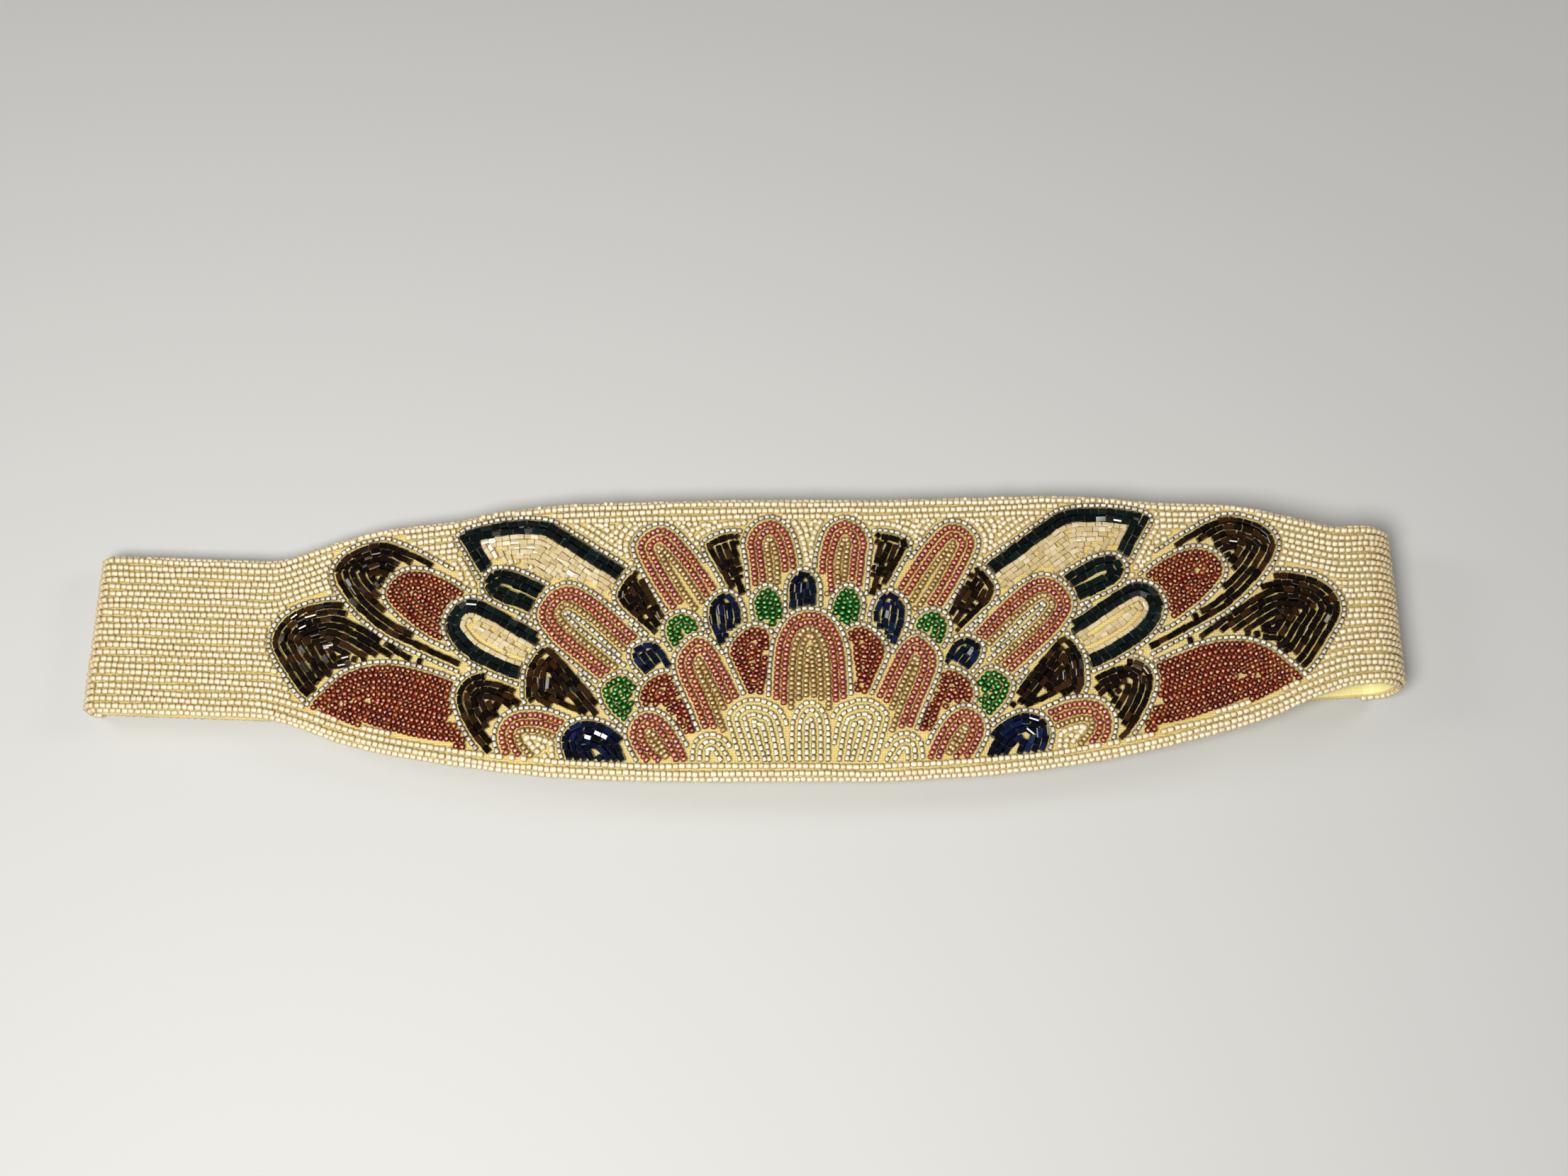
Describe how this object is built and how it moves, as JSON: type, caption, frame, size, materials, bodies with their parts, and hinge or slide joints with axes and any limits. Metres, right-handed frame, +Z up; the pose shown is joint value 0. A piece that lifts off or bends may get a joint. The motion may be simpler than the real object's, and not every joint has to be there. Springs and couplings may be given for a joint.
{
  "type": "beaded belt",
  "caption": "Beaded dress belt lying closed and flattened, with a shaped front panel of bead petals and a narrow band round the back.",
  "frame": {"origin": "middle of the belt's footprint, on the surface that it lies on", "axes": "+X along the belt, to the right in the picture, +Y to its upper edge, +Z up, out of the front"},
  "size_m": [0.3674, 0.0836, 0.0215],
  "materials": {
    "ground_beads": "transparent pale yellow seed beads",
    "fan_beads": "silver-lined clear seed beads",
    "rose_beads": "rose lustre seed beads with a gold core",
    "garnet_beads": "garnet rainbow seed beads",
    "green_beads": "emerald seed beads",
    "navy_bugles": "navy bugle beads",
    "brown_bugles": "dark bronze bugle beads",
    "teal_bugles": "black teal bugle beads",
    "cloth": "woven yellow cloth",
    "satin": "pale yellow satin",
    "tape": "plain fastening tape"
  },
  "bodies": {
    "root": {"cream_fan": "fan_beads", "arch_center": "rose_beads", "bud_navy_center": "navy_bugles", "garnet_inner_left": "garnet_beads", "garnet_inner_right": "garnet_beads", "rose_inner_left": "rose_beads", "rose_inner_right": "rose_beads", "rose_low_left": "rose_beads", "rose_low_right": "rose_beads", "garnet_low_left": "garnet_beads", "garnet_low_right": "garnet_beads", "bud_green_top_left": "green_beads", "bud_green_top_right": "green_beads", "bud_navy_top_left": "navy_bugles", "bud_navy_top_right": "navy_bugles", "bud_green_mid_left": "green_beads", "bud_green_mid_right": "green_beads", "bud_navy_mid_left": "navy_bugles", "bud_navy_mid_right": "navy_bugles", "bud_green_low_left": "green_beads", "bud_green_low_right": "green_beads", "rose_crown_left": "rose_beads", "rose_crown_right": "rose_beads", "brown_crown_left": "brown_bugles", "brown_crown_right": "brown_bugles", "rose_upper_left": "rose_beads", "rose_upper_right": "rose_beads", "brown_upper_left": "brown_bugles", "brown_upper_right": "brown_bugles", "rose_side_left": "rose_beads", "rose_side_right": "rose_beads", "navy_low_left": "navy_bugles", "navy_low_right": "navy_bugles", "rose_outer_left": "rose_beads", "rose_outer_right": "rose_beads", "brown_side_left": "brown_bugles", "brown_side_right": "brown_bugles", "teal_small_left": "teal_bugles", "teal_small_right": "teal_bugles", "teal_oval_left": "teal_bugles", "teal_oval_right": "teal_bugles", "teal_wing_left": "teal_bugles", "teal_wing_right": "teal_bugles", "brown_outer_left": "brown_bugles", "brown_outer_right": "brown_bugles", "garnet_leaf_left": "garnet_beads", "garnet_leaf_right": "garnet_beads", "garnet_wing_left": "garnet_beads", "garnet_wing_right": "garnet_beads", "feather_upper_left": "brown_bugles", "feather_upper_right": "brown_bugles", "feather_lower_left": "brown_bugles", "feather_lower_right": "brown_bugles", "beads_front": "ground_beads", "beads_back_left": "ground_beads", "beads_back_right": "ground_beads", "cloth_band": "cloth", "lining": "satin", "closure_tape": "tape"}
  },
  "joints": []
}
